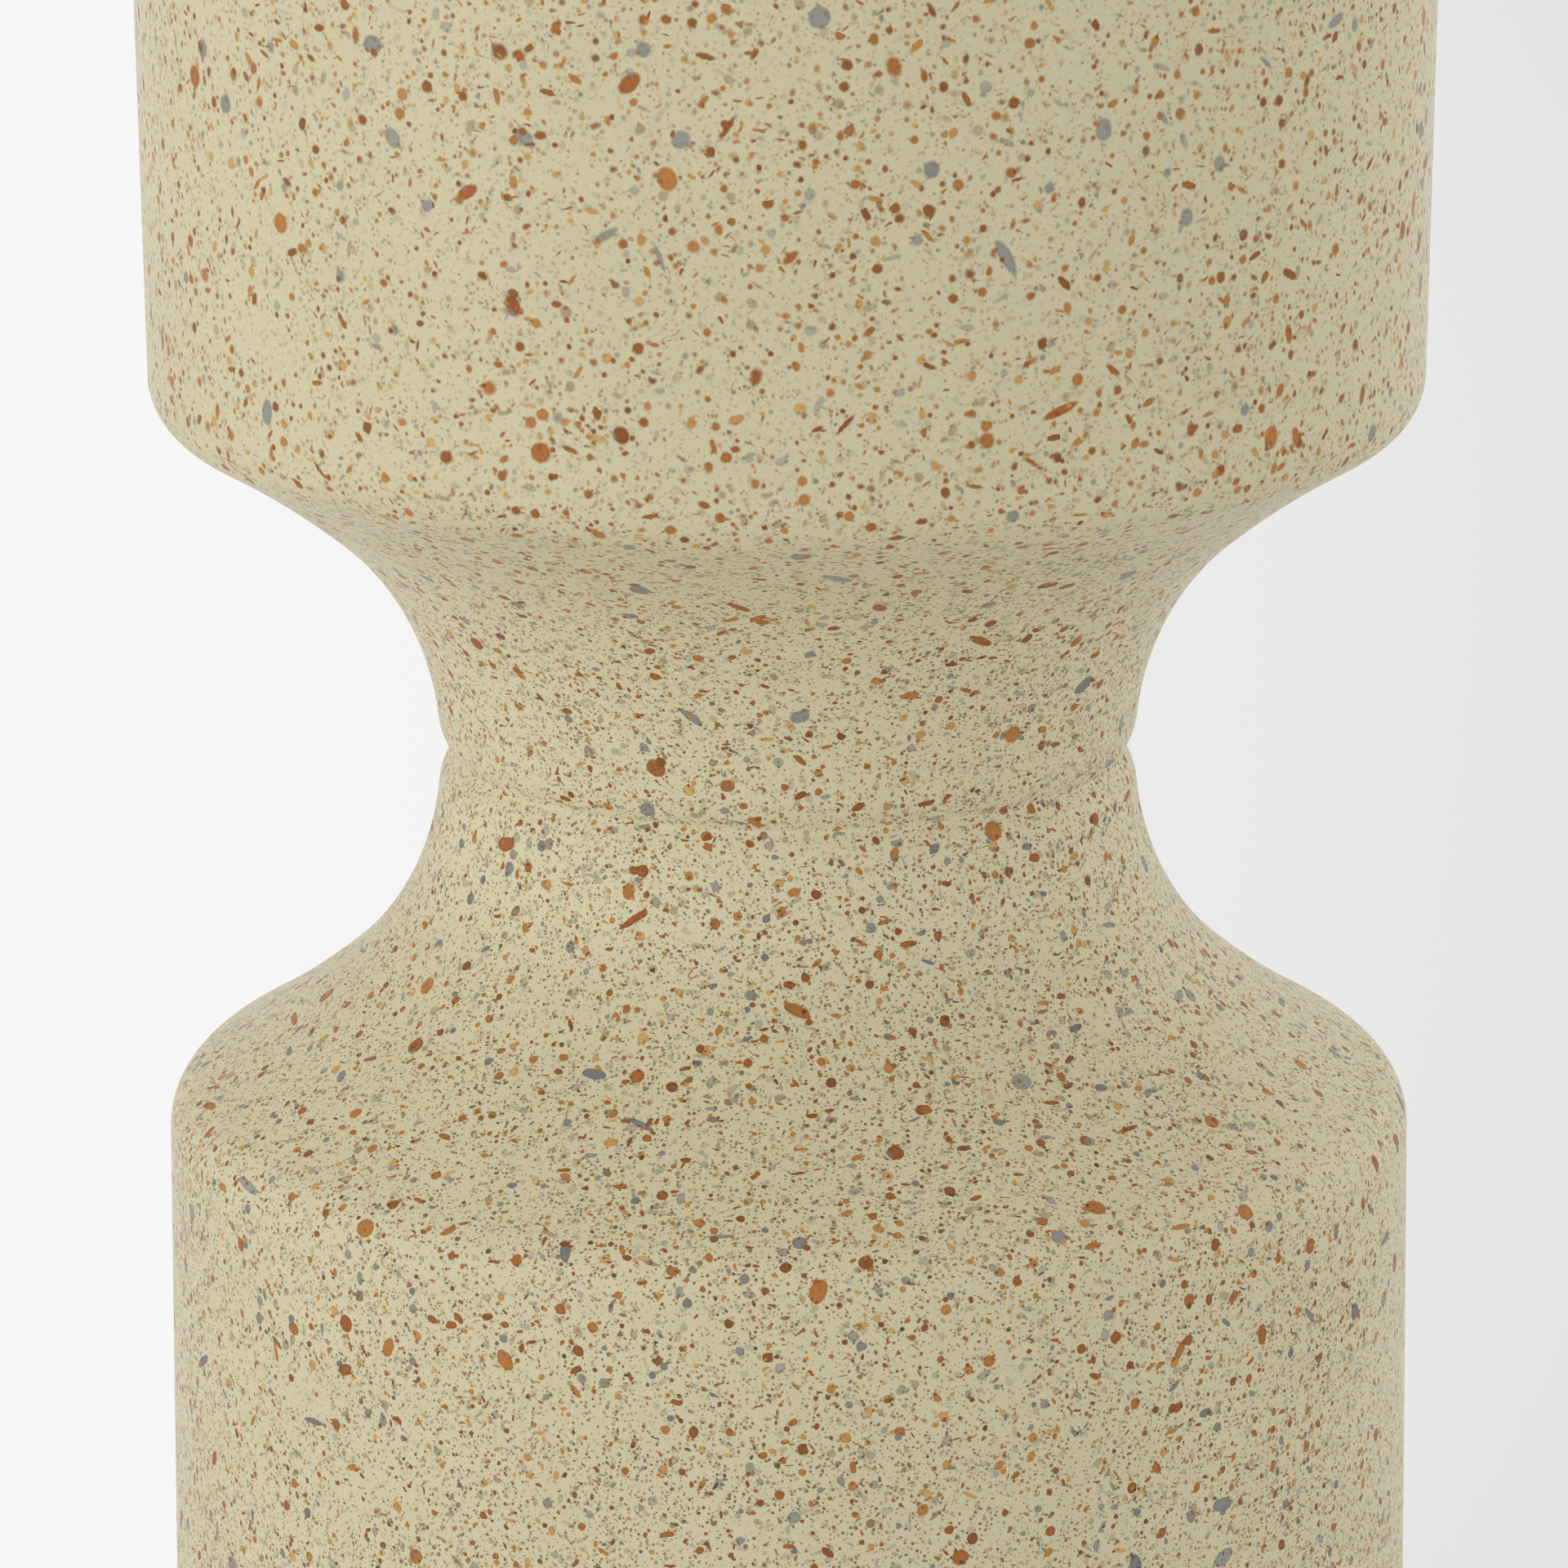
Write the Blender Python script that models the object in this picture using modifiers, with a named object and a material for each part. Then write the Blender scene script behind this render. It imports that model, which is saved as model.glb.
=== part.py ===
"""Stoneware vase: two thrown sections, luted neck to neck at a waist with a sharp crease.

Units are metres and +Z is up. The origin is the middle of the foot, on the surface that the vase stands on.
Run it with blender --background --python part.py, or from the text editor.
"""

from math import asin, cos, pi, radians, sin

import bpy

MM = 0.001

# Sizes of the two bodies
BODY_RADIUS = 80.0 * MM
LOWER_BODY_DRAWN_IN = 0.5 * MM
UPPER_WALL_HEIGHT = 114.0 * MM
LOWER_WALL_HEIGHT = 114.0 * MM
WALL_FLARE = radians(0.62)
WALL_THICKNESS = 7.0 * MM

# The waist, the same on both sections: heights count from the crease, headings from the axis
NECK_RADIUS = 44.4 * MM
NECK_HEADING = radians(5.8)
LIP_RADIUS = 8.5 * MM
LIP_HEIGHT = 4.6 * MM
COVE_RADIUS = 38.5 * MM
COVE_END_HEADING = radians(49.7)
FLANK_END_HEADING = radians(60.5)
SHOULDER_RADIUS = 7.5 * MM
INNER_SHOULDER_RADIUS = 6.0 * MM

# The foot and the floor of the lower section
FOOT_EDGE_RADIUS = 3.0 * MM
FOOT_RING_WIDTH = 9.0 * MM
FOOT_RECESS = 3.0 * MM
FLOOR_THICKNESS = 8.0 * MM
FLOOR_CORNER_RADIUS = 10.0 * MM

# The joint at the crease: a bed of slip between the neck edges, and a coil pressed over it inside
CLEARANCE = 0.3 * MM
SLIP_THICKNESS = 0.6 * MM
SLIP_HOLLOW = 0.4 * MM
COIL_HEIGHT = 9.0 * MM
COIL_DEPTH = 3.2 * MM

# How finely round stretches are divided
TURN_STEPS = 64
LIP_STEPS = 4
COVE_STEPS = 7
FLANK_STEPS = 3
SHOULDER_STEPS = 4
RIM_STEPS = 6
FOOT_EDGE_STEPS = 3
CORNER_STEPS = 4
COIL_STEPS = 6

JOINT_HALF = SLIP_THICKNESS / 2 + CLEARANCE
LOWER_BODY_RADIUS = BODY_RADIUS - LOWER_BODY_DRAWN_IN

COLOURS = {
    "speckled_buff_glaze": (0.571, 0.515, 0.332),
    "joining_slip": (0.34, 0.28, 0.16),
    "raw_stoneware": (0.46, 0.36, 0.22),
}


def sweep(start, heading_from, heading_to, radius, steps):
    """Points after start on an arc whose heading from the axis turns from one angle to another.

    A growing heading opens away from the axis, as a cove does, and a shrinking one rounds over, as a shoulder does.
    """
    side = 1 if heading_to > heading_from else -1
    points = []
    for step in range(1, steps + 1):
        heading = heading_from + (heading_to - heading_from) * step / steps
        across = side * radius * (cos(heading_from) - cos(heading))
        along = side * radius * (sin(heading) - sin(heading_from))
        points.append((start[0] + across, start[1] + along))
    return points


def lip_outline():
    """The rounded outer edge of a neck, from its mating face to the start of the cove."""
    neck = (NECK_RADIUS, LIP_HEIGHT)
    edge_heading = asin(sin(NECK_HEADING) + (LIP_HEIGHT - JOINT_HALF) / LIP_RADIUS)
    edge = (NECK_RADIUS - LIP_RADIUS * (cos(NECK_HEADING) - cos(edge_heading)), JOINT_HALF)
    return [edge] + sweep(edge, edge_heading, NECK_HEADING, LIP_RADIUS, LIP_STEPS)[:-1] + [neck]


def bore_edge():
    """The inner edge of a neck at its mating face, and the heading of the bore there.

    The bore's cove shares its centre with the outer one, one wall thickness further out.
    """
    radius = COVE_RADIUS + WALL_THICKNESS
    centre_across = NECK_RADIUS + COVE_RADIUS * cos(NECK_HEADING)
    centre_along = LIP_HEIGHT - COVE_RADIUS * sin(NECK_HEADING)
    heading = asin((JOINT_HALF - centre_along) / radius)
    return (centre_across - radius * cos(heading), JOINT_HALF), heading


def waist_outline(start, heading, cove_radius, shoulder_radius, body_radius):
    """Points after start through the cove, the flank and the shoulder, to the start of the body's wall.

    The flank is a long flat arc that spans what the cove and the shoulder leave of the way out to the body.
    """
    points = sweep(start, heading, COVE_END_HEADING, cove_radius, COVE_STEPS)
    shoulder_across = shoulder_radius * (cos(WALL_FLARE) - cos(FLANK_END_HEADING))
    flank_across = body_radius - shoulder_across - points[-1][0]
    flank_radius = flank_across / (cos(COVE_END_HEADING) - cos(FLANK_END_HEADING))
    points += sweep(points[-1], COVE_END_HEADING, FLANK_END_HEADING, flank_radius, FLANK_STEPS)
    points += sweep(points[-1], FLANK_END_HEADING, WALL_FLARE, shoulder_radius, SHOULDER_STEPS)
    return points


def outer_outline(body_radius):
    """The outer side of a section from its mating face to the start of the body's wall."""
    lip = lip_outline()
    return lip + waist_outline(lip[-1], NECK_HEADING, COVE_RADIUS, SHOULDER_RADIUS, body_radius)


def inner_outline(body_radius):
    """The inner side of a section from its mating face to the start of the body's wall."""
    edge, heading = bore_edge()
    cove_radius = COVE_RADIUS + WALL_THICKNESS
    bore_radius = body_radius - WALL_THICKNESS
    return [edge] + waist_outline(edge, heading, cove_radius, INNER_SHOULDER_RADIUS, bore_radius)


def wall_point(start, height):
    """The point of the flared wall that leaves start, at a height over the crease."""
    return (start[0] + (height - start[1]) * sin(WALL_FLARE) / cos(WALL_FLARE), height)


def section_height(body_radius, wall_height):
    """The height of a section from the crease to the end of its wall."""
    return outer_outline(body_radius)[-1][1] + wall_height


def upper_section_outline():
    """The closed outline of the upper section, down its outer side and up its inner side."""
    outer = outer_outline(BODY_RADIUS)
    inner = inner_outline(BODY_RADIUS)
    rim_radius = WALL_THICKNESS / 2
    rim_height = section_height(BODY_RADIUS, UPPER_WALL_HEIGHT) - rim_radius
    rim_across = wall_point(outer[-1], rim_height)[0] - rim_radius
    rim = []
    for step in range(RIM_STEPS + 1):
        angle = pi * (1 - step / RIM_STEPS)
        rim.append((rim_across + rim_radius * cos(angle), rim_height + rim_radius * sin(angle)))
    return rim + outer[::-1] + inner


def lower_section_outline():
    """The outline of the lower section, turned over: out along the floor, up the inside, down the outside to the foot."""
    outer = outer_outline(LOWER_BODY_RADIUS)
    inner = inner_outline(LOWER_BODY_RADIUS)
    base = section_height(LOWER_BODY_RADIUS, LOWER_WALL_HEIGHT)
    floor = base - FOOT_RECESS - FLOOR_THICKNESS

    corner = wall_point(inner[-1], floor - FLOOR_CORNER_RADIUS)
    inner_corner = sweep(corner, WALL_FLARE, -pi / 2, FLOOR_CORNER_RADIUS, CORNER_STEPS)

    edge = wall_point(outer[-1], base - FOOT_EDGE_RADIUS)
    foot_edge = [edge] + sweep(edge, WALL_FLARE, -pi / 2, FOOT_EDGE_RADIUS, FOOT_EDGE_STEPS)
    ring_inner = foot_edge[-1][0] - FOOT_RING_WIDTH
    recess_edge = ring_inner - FOOT_RECESS
    foot = foot_edge + [(ring_inner, foot_edge[-1][1])]
    underside = [(recess_edge, foot_edge[-1][1] - FOOT_RECESS), (0.0, foot_edge[-1][1] - FOOT_RECESS)]

    inside = inner + [corner] + inner_corner
    outline = [(0.0, inner_corner[-1][1])] + inside[::-1] + outer + foot + underside
    return [(across, -along) for across, along in outline]


def slip_joint_outline():
    """The closed outline of the slip between the mating faces, with its outer edge drawn in."""
    outer = lip_outline()[0][0]
    inner = bore_edge()[0][0]
    half = SLIP_THICKNESS / 2
    return [(inner, half), (outer, half), (outer - SLIP_HOLLOW, 0.0), (outer, -half), (inner, -half)]


def inner_coil_outline():
    """The closed outline of the coil: flat against the bore, and round towards the axis."""
    back = bore_edge()[0][0] - CLEARANCE
    outline = [(back, COIL_HEIGHT / 2), (back, -COIL_HEIGHT / 2)]
    for step in range(1, COIL_STEPS):
        angle = pi * (step / COIL_STEPS - 0.5)
        outline.append((back - COIL_DEPTH * cos(angle), COIL_HEIGHT / 2 * sin(angle)))
    return outline


def make_material(name, colour, roughness):
    """A ceramic surface of one colour."""
    material = bpy.data.materials.new(name)
    material.use_nodes = True
    surface = material.node_tree.nodes["Principled BSDF"]
    surface.inputs["Base Color"].default_value = (*colour, 1.0)
    surface.inputs["Roughness"].default_value = roughness
    surface.inputs["Metallic"].default_value = 0.0
    return material


def turn(name, outline, closed, material, collection, parent):
    """Turn an outline about the axis, as on the wheel, and hang it on the parent at the crease."""
    vertices = [(across, 0.0, along) for across, along in outline]
    edges = [(index, index + 1) for index in range(len(outline) - 1)]
    if closed:
        edges.append((len(outline) - 1, 0))
    mesh = bpy.data.meshes.new(name)
    mesh.from_pydata(vertices, edges, [])
    mesh.materials.append(material)
    piece = bpy.data.objects.new(name, mesh)
    collection.objects.link(piece)
    piece.parent = parent

    screw = piece.modifiers.new("Turn", "SCREW")
    screw.axis = "Z"
    screw.angle = 2 * pi
    screw.steps = TURN_STEPS
    screw.render_steps = TURN_STEPS
    screw.use_merge_vertices = True
    screw.merge_threshold = 0.01 * MM
    screw.use_smooth_shade = True
    return piece


def main():
    """Clear the scene and model the vase, standing on its foot."""
    for item in list(bpy.data.objects):
        bpy.data.objects.remove(item, do_unlink=True)

    collection = bpy.data.collections.new("stoneware_vase")
    bpy.context.scene.collection.children.link(collection)

    crease = bpy.data.objects.new("crease", None)
    crease.location.z = section_height(LOWER_BODY_RADIUS, LOWER_WALL_HEIGHT)
    collection.objects.link(crease)

    glaze = make_material("speckled_buff_glaze", COLOURS["speckled_buff_glaze"], 0.6)
    upper_glaze = make_material("speckled_buff_glaze_upper", COLOURS["speckled_buff_glaze"], 0.6)
    slip = make_material("joining_slip", COLOURS["joining_slip"], 0.75)
    clay = make_material("raw_stoneware", COLOURS["raw_stoneware"], 0.8)

    turn("lower_section", lower_section_outline(), False, glaze, collection, crease)
    turn("upper_section", upper_section_outline(), True, upper_glaze, collection, crease)
    turn("slip_joint", slip_joint_outline(), True, slip, collection, crease)
    turn("inner_coil", inner_coil_outline(), True, clay, collection, crease)


if __name__ == "__main__":
    main()
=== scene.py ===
"""Looks of the stoneware vase: two thrown sections luted neck to neck, under a spattered matte glaze.

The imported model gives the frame. Each section, the slip between them and the coil inside are turned again here with a
finer surface, dressed with procedural finishes, and set before a camera at the photograph's angle.
"""

import logging
import math
from dataclasses import dataclass
from enum import Enum
from typing import Any, Callable, ClassVar

import bpy
from mathutils import Matrix, Vector

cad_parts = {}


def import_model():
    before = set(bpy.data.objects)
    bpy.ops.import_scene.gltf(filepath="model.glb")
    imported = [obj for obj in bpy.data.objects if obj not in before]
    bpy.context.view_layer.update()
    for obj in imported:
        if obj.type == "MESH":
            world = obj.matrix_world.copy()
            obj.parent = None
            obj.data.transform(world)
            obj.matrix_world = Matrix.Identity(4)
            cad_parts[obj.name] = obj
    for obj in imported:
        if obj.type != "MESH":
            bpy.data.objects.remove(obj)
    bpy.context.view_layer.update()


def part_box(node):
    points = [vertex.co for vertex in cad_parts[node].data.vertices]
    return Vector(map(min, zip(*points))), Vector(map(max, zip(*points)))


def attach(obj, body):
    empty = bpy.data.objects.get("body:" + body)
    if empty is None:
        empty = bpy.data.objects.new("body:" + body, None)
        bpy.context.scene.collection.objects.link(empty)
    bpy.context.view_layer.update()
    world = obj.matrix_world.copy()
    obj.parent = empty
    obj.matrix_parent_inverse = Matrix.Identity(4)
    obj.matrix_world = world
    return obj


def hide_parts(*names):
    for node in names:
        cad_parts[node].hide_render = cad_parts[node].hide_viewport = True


LOG = logging.getLogger("stoneware_vase")
MM = 0.001
BODY = "root"
Point = tuple[float, float]

# Sizes that the solids don't give by their boxes
UPPER_BODY_RADIUS = 80.0 * MM
LOWER_BODY_RADIUS = 79.5 * MM
COIL_DEPTH = 3.2 * MM

# How finely pieces are turned, how near two points lie to be made one, and the sharpest angle that is shaded smooth
SEGMENTS = 240
WELD = 0.002 * MM
SMOOTH_ANGLE = math.radians(40)

# How spatter falls: the disorder of the grid that holds the drops, the numbers that make fresh chances from a cell's
# own, the powers that make long and large drops the rarer, how much a slope draws drops round the vase, how narrow a
# drop's dark rim is, and the way in metres from one throw's grid to the next
DROP_GROUP = "glaze_drops"
DROP_DISORDER = 0.8
FRESH_CHANCES = (57.3, 31.7, 43.9)
LONG_RARITY = 4.0
LARGE_RARITY = 2.0
DRAWN_ROUND = 9.0
RIM_POWER = 3.0
THROW_STEP = (0.37, 0.61, 0.23)


def linear(colour: str) -> tuple[float, float, float, float]:
    """Turn an sRGB hex colour into linear light.

    Args:
        colour: six hex digits after a hash sign.

    Returns:
        Red, green, blue and an alpha of 1.
    """
    channels = [int(colour[place:place + 2], 16) / 255 for place in (1, 3, 5)]
    light = [c / 12.92 if c <= 0.04045 else ((c + 0.055) / 1.055) ** 2.4 for c in channels]
    return (light[0], light[1], light[2], 1.0)


def add_node(tree: bpy.types.NodeTree, kind: str, inputs: dict[Any, Any], **settings: Any) -> bpy.types.Node:
    """Add a node to a tree, with its settings and links.

    Args:
        tree: the node tree of a material, a group or the world.
        kind: the node's type, without the prefix that all shader nodes share.
        inputs: socket name or number to a value, or to the socket that feeds it.
        settings: the node's own properties.

    Returns:
        The new node.
    """
    node = tree.nodes.new("ShaderNode" + kind)
    for name, value in settings.items():
        setattr(node, name, value)
    for name, value in inputs.items():
        if isinstance(value, bpy.types.NodeSocket):
            tree.links.new(value, node.inputs[name])
        else:
            node.inputs[name].default_value = value
    return node


def new_material(name: str) -> tuple[bpy.types.Material, bpy.types.NodeTree, bpy.types.Node]:
    """Start a material.

    Args:
        name: the real material's name.

    Returns:
        The material, its node tree and its surface shader.
    """
    material = bpy.data.materials.new(name)
    material.use_nodes = True
    tree = material.node_tree
    return material, tree, tree.nodes["Principled BSDF"]


def drop_group() -> bpy.types.NodeTree:
    """Make the node group that draws one throw of drops.

    Drops are ellipsoids about random points in space, cut by the surface. It shows each as a disc or an oval of any
    size up to its own, as a spatter has, and a drop runs on unbroken from one piece to the next.

    Returns:
        The group, which tells how far a place lies inside a drop, the drop's own chance number from 0 to 1, and how
        far the place lies from the drop's middle, where its rim is 1.
    """
    group = bpy.data.node_groups.new(DROP_GROUP, "ShaderNodeTree")
    for name in ("Place", "Normal", "Up"):
        group.interface.new_socket(name=name, in_out="INPUT", socket_type="NodeSocketVector")
    for name in ("Scale", "Smallest", "Largest", "Share", "Stretch", "Edge"):
        group.interface.new_socket(name=name, in_out="INPUT", socket_type="NodeSocketFloat")
    for name in ("Inside", "Chance", "Reach"):
        group.interface.new_socket(name=name, in_out="OUTPUT", socket_type="NodeSocketFloat")
    given = group.nodes.new("NodeGroupInput").outputs
    made = group.nodes.new("NodeGroupOutput").inputs

    cells = add_node(
        group, "TexVoronoi", {"Vector": given["Place"], "Scale": given["Scale"], "Randomness": DROP_DISORDER},
        voronoi_dimensions="3D", feature="F1", distance="EUCLIDEAN",
    ).outputs
    chance = add_node(group, "SeparateColor", {"Color": cells["Color"]}).outputs
    size_chance, drop_chance, tone_chance = chance[0], chance[1], chance[2]
    shuffled = add_node(group, "VectorMath", {0: cells["Color"], 1: FRESH_CHANCES}, operation="MULTIPLY")
    fresh = add_node(group, "VectorMath", {0: shuffled.outputs[0]}, operation="FRACTION").outputs[0]

    # A random axis that lies in the surface
    offset = add_node(group, "VectorMath", {0: given["Place"], 1: cells["Position"]}, operation="SUBTRACT").outputs[0]
    spread = add_node(group, "VectorMath", {0: fresh, 1: (2,) * 3, 2: (-1,) * 3}, operation="MULTIPLY_ADD")
    lean = add_node(
        group, "VectorMath", {0: spread.outputs[0], 1: given["Normal"]}, operation="DOT_PRODUCT"
    ).outputs["Value"]
    upright = add_node(group, "VectorMath", {0: given["Normal"], "Scale": lean}, operation="SCALE")
    level = add_node(group, "VectorMath", {0: spread.outputs[0], 1: upright.outputs[0]}, operation="SUBTRACT")

    # On a slope the axis is drawn round the vase, which turned on the wheel as it was spattered
    around = add_node(group, "VectorMath", {0: given["Up"], 1: given["Normal"]}, operation="CROSS_PRODUCT").outputs[0]
    rise = add_node(
        group, "VectorMath", {0: given["Up"], 1: given["Normal"]}, operation="DOT_PRODUCT"
    ).outputs["Value"]
    slope = add_node(group, "Math", {0: rise}, operation="ABSOLUTE")
    pull = add_node(group, "Math", {0: slope.outputs[0], 1: DRAWN_ROUND}, operation="MULTIPLY")
    part_round = add_node(
        group, "VectorMath", {0: level.outputs[0], 1: around}, operation="DOT_PRODUCT"
    ).outputs["Value"]
    gain = add_node(group, "Math", {0: part_round, 1: pull.outputs[0]}, operation="MULTIPLY")
    drawn = add_node(
        group, "VectorMath", {0: around, 1: gain.outputs[0], 2: level.outputs[0]}, operation="MULTIPLY_ADD"
    )
    axis = add_node(group, "VectorMath", {0: drawn.outputs[0]}, operation="NORMALIZE")

    # The distance from the ellipsoid's middle, shrunk by its stretch along the axis and grown across it, so that a long
    # drop is as large as a round one
    along = add_node(group, "VectorMath", {0: offset, 1: axis.outputs[0]}, operation="DOT_PRODUCT").outputs["Value"]
    squared = add_node(group, "VectorMath", {0: offset, 1: offset}, operation="DOT_PRODUCT").outputs["Value"]
    stretch_chance = add_node(group, "SeparateXYZ", {"Vector": fresh}).outputs["Y"]
    seldom = add_node(group, "Math", {0: stretch_chance, 1: LONG_RARITY}, operation="POWER")
    stretch = add_node(
        group, "MapRange", {"Value": seldom.outputs[0], "To Min": 1.0, "To Max": given["Stretch"]}
    ).outputs["Result"]
    inverse = add_node(group, "Math", {0: stretch, 1: -2.0}, operation="POWER")
    squeeze = add_node(group, "Math", {0: inverse.outputs[0], 1: 1.0}, operation="SUBTRACT")
    along_squared = add_node(group, "Math", {0: along, 1: along}, operation="MULTIPLY")
    reach_squared = add_node(
        group, "Math", {0: along_squared.outputs[0], 1: squeeze.outputs[0], 2: squared}, operation="MULTIPLY_ADD"
    )
    as_large = add_node(group, "Math", {0: reach_squared.outputs[0], 1: stretch}, operation="MULTIPLY")
    distance = add_node(group, "Math", {0: as_large.outputs[0]}, operation="SQRT").outputs[0]

    # Small drops are the more common
    smallness = add_node(group, "Math", {0: size_chance, 1: LARGE_RARITY}, operation="POWER")
    radius = add_node(
        group, "MapRange", {"Value": smallness.outputs[0], "To Min": given["Smallest"], "To Max": given["Largest"]}
    ).outputs["Result"]
    depth = add_node(group, "Math", {0: radius, 1: distance}, operation="SUBTRACT")
    edges_in = add_node(group, "Math", {0: depth.outputs[0], 1: given["Edge"]}, operation="DIVIDE")
    covered = add_node(
        group, "MapRange", {"Value": edges_in.outputs[0], "From Min": -0.5, "From Max": 0.5},
        interpolation_type="SMOOTHSTEP",
    )
    present = add_node(group, "Math", {0: drop_chance, 1: given["Share"]}, operation="LESS_THAN")

    # A drop that is smaller than its soft edge fades
    strength = add_node(group, "Math", {0: radius, 1: given["Edge"]}, operation="DIVIDE", use_clamp=True)
    shown = add_node(group, "Math", {0: strength.outputs[0], 1: present.outputs[0]}, operation="MULTIPLY")
    inside = add_node(group, "Math", {0: covered.outputs["Result"], 1: shown.outputs[0]}, operation="MULTIPLY")
    reach = add_node(group, "Math", {0: distance, 1: radius}, operation="DIVIDE")
    group.links.new(inside.outputs[0], made["Inside"])
    group.links.new(tone_chance, made["Chance"])
    group.links.new(reach.outputs[0], made["Reach"])
    return group


@dataclass(frozen=True)
class Tint:
    """One colour of a palette: its place among the drops from 0 to 1, and how much of the glaze it covers."""

    place: float
    colour: str
    cover: float


@dataclass(frozen=True)
class Ground:
    """What drops need to know of the surface that they land on, as sockets of the glaze's node tree.

    Place, normal and up are turned into the drops' tilted grid, and place is in metres. Wobble is a smooth random
    shift of about one unit. Softness is how many times softer than plain a drop's edge is. Warmth is the part of each
    palette that is used, from its rust end. Top is 0 below the upper body and 1 on it, and gust is how many times more
    drops than usual fell in a place.
    """

    place: bpy.types.NodeSocket
    normal: bpy.types.NodeSocket
    up: bpy.types.NodeSocket
    wobble: bpy.types.NodeSocket
    softness: bpy.types.NodeSocket
    warmth: bpy.types.NodeSocket
    top: bpy.types.NodeSocket
    gust: bpy.types.NodeSocket


@dataclass(frozen=True)
class Spatter:
    """One throw of liquid colours. Lengths are in millimetres, and spacing is that of the drops' middles in space.

    Share is the part of the middles that hold a drop, stretch the most that a drop is drawn out, edge the width of
    its soft edge, rim how much darker it dries there, and ragged how far its outline is shaken. Left on top is how
    many times as many drops of it there are on the upper body.
    """

    name: str
    spacing: float
    radius: tuple[float, float]
    share: float
    stretch: float
    edge: float
    rim: float
    ragged: float
    palette: tuple[Tint, ...]
    left_on_top: float = 1.0

    def lay(
        self, tree: bpy.types.NodeTree, ground: Ground, under: bpy.types.NodeSocket, number: int
    ) -> bpy.types.NodeSocket:
        """Lay these drops over a colour.

        Args:
            tree: the glaze's node tree.
            ground: what the drops need to know of the surface.
            under: the colour beneath.
            number: the throw's number, which keeps it out of step with the others.

        Returns:
            The new colour.
        """
        ragged = add_node(
            tree, "VectorMath", {0: ground.wobble, 1: (self.ragged * MM,) * 3, 2: ground.place},
            operation="MULTIPLY_ADD",
        )
        away = tuple(number * step for step in THROW_STEP)
        moved = add_node(tree, "VectorMath", {0: ragged.outputs[0], 1: away}, operation="ADD")
        edge = add_node(tree, "Math", {0: ground.softness, 1: self.edge * MM}, operation="MULTIPLY")
        thinned = add_node(
            tree, "MapRange", {"Value": ground.top, "To Min": self.share, "To Max": self.share * self.left_on_top}
        )
        share = add_node(tree, "Math", {0: thinned.outputs["Result"], 1: ground.gust}, operation="MULTIPLY")
        drops = add_node(
            tree, "Group",
            {
                "Place": moved.outputs[0], "Normal": ground.normal, "Up": ground.up,
                "Scale": 1 / (self.spacing * MM), "Stretch": self.stretch, "Share": share.outputs[0],
                "Smallest": self.radius[0] * MM, "Largest": self.radius[1] * MM, "Edge": edge.outputs[0],
            },
            node_tree=bpy.data.node_groups.get(DROP_GROUP) or drop_group(), label=self.name,
        ).outputs
        tone = add_node(tree, "Math", {0: drops["Chance"], 1: ground.warmth}, operation="MULTIPLY")
        tint = add_node(tree, "ValToRGB", {"Fac": tone.outputs[0]})
        stops = tint.color_ramp.elements
        for index, shade in enumerate(self.palette):
            stop = stops[index] if index < len(stops) else stops.new(shade.place)
            stop.position = shade.place
            stop.color = (*linear(shade.colour)[:3], shade.cover)

        # Liquid dries thicker, and so darker, towards a drop's rim
        thick = add_node(tree, "Math", {0: drops["Reach"], 1: RIM_POWER}, operation="POWER")
        pale = add_node(tree, "Math", {0: thick.outputs[0], 1: -self.rim, 2: 1.0}, operation="MULTIPLY_ADD")
        dried = add_node(
            tree, "VectorMath", {0: tint.outputs["Color"], "Scale": pale.outputs[0]}, operation="SCALE"
        )
        cover = add_node(tree, "Math", {0: drops["Inside"], 1: tint.outputs["Alpha"]}, operation="MULTIPLY")
        return add_node(
            tree, "Mix", {"Factor": cover.outputs[0], 6: under, 7: dried.outputs[0]}, data_type="RGBA"
        ).outputs[2]


# Drops that sank in and left only a stain
HAZE = Spatter(
    "haze", spacing=1.2, radius=(0.15, 0.55), share=0.95, stretch=5.0, edge=0.14, rim=0.0, ragged=0.2,
    palette=(
        Tint(0.0, "#A08C5E", 0.45), Tint(0.6, "#968A66", 0.5),
        Tint(0.61, "#9A9888", 0.45), Tint(1.0, "#84867F", 0.5),
    ),
    left_on_top=0.5,
)
# The few that show from across a room, rust or slate
LARGE = Spatter(
    "large_drops", spacing=4.5, radius=(0.58, 1.35), share=0.65, stretch=6.0, edge=0.11, rim=0.2, ragged=0.1,
    palette=(
        Tint(0.0, "#B9782F", 0.95), Tint(0.3, "#A3602B", 1.0), Tint(0.48, "#8A5027", 1.0),
        Tint(0.49, "#858987", 0.8), Tint(1.0, "#646B6D", 0.92),
    ),
)
# Rust, then olive, then slate
DROPS = Spatter(
    "drops", spacing=1.7, radius=(0.28, 0.75), share=0.88, stretch=4.5, edge=0.09, rim=0.25, ragged=0.09,
    palette=(
        Tint(0.0, "#CA983F", 0.75), Tint(0.12, "#BD7D31", 0.9), Tint(0.36, "#A3632C", 1.0),
        Tint(0.56, "#835029", 1.0), Tint(0.57, "#8C7B55", 0.5), Tint(0.64, "#84704A", 0.6),
        Tint(0.65, "#8F9088", 0.55), Tint(1.0, "#626A6D", 0.92),
    ),
    left_on_top=1.15,
)
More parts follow.
